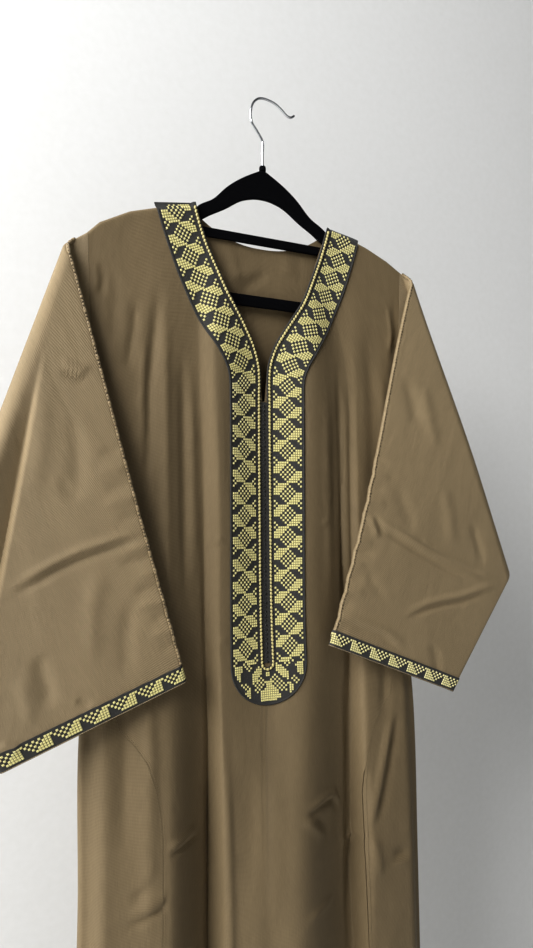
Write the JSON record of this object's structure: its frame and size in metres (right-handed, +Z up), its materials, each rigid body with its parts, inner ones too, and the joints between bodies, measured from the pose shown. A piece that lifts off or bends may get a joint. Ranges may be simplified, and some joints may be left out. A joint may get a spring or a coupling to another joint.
{
  "type": "thobe on a hanger",
  "caption": "Long loose robe with wide folded sleeves, embroidered neck band, placket and cuffs, hung on a slim velvet hanger.",
  "frame": {"origin": "underside of the hook's crown, where the garment hangs", "axes": "+Z up, +X to the right of a person who faces the front, +Y from the front of the garment to its back"},
  "size_m": [0.7646, 0.1052, 1.5531],
  "materials": {
    "olive_cloth": "fine olive-brown twill with a soft sheen",
    "embroidery": "gold-green satin thread on charcoal, with a pale corded edge",
    "charcoal_trim": "charcoal knotted strip",
    "hanger_velvet": "black flocked velvet",
    "hook_metal": "bright steel wire"
  },
  "bodies": {
    "root": {"front_panel": "olive_cloth", "back_panel": "olive_cloth", "side_panel_left": "olive_cloth", "sleeve_back_left": "olive_cloth", "sleeve_front_left": "olive_cloth", "cuff_band_left": "embroidery", "neck_band_left": "embroidery", "hanger_arm_left": "hanger_velvet", "side_panel_right": "olive_cloth", "sleeve_back_right": "olive_cloth", "sleeve_front_right": "olive_cloth", "cuff_band_right": "embroidery", "neck_band_right": "embroidery", "hanger_arm_right": "hanger_velvet", "placket_strip": "charcoal_trim", "hanger_bar": "hanger_velvet", "hanger_tie_bar": "hanger_velvet", "hook_collar": "hanger_velvet", "hook": "hook_metal"}
  },
  "joints": []
}
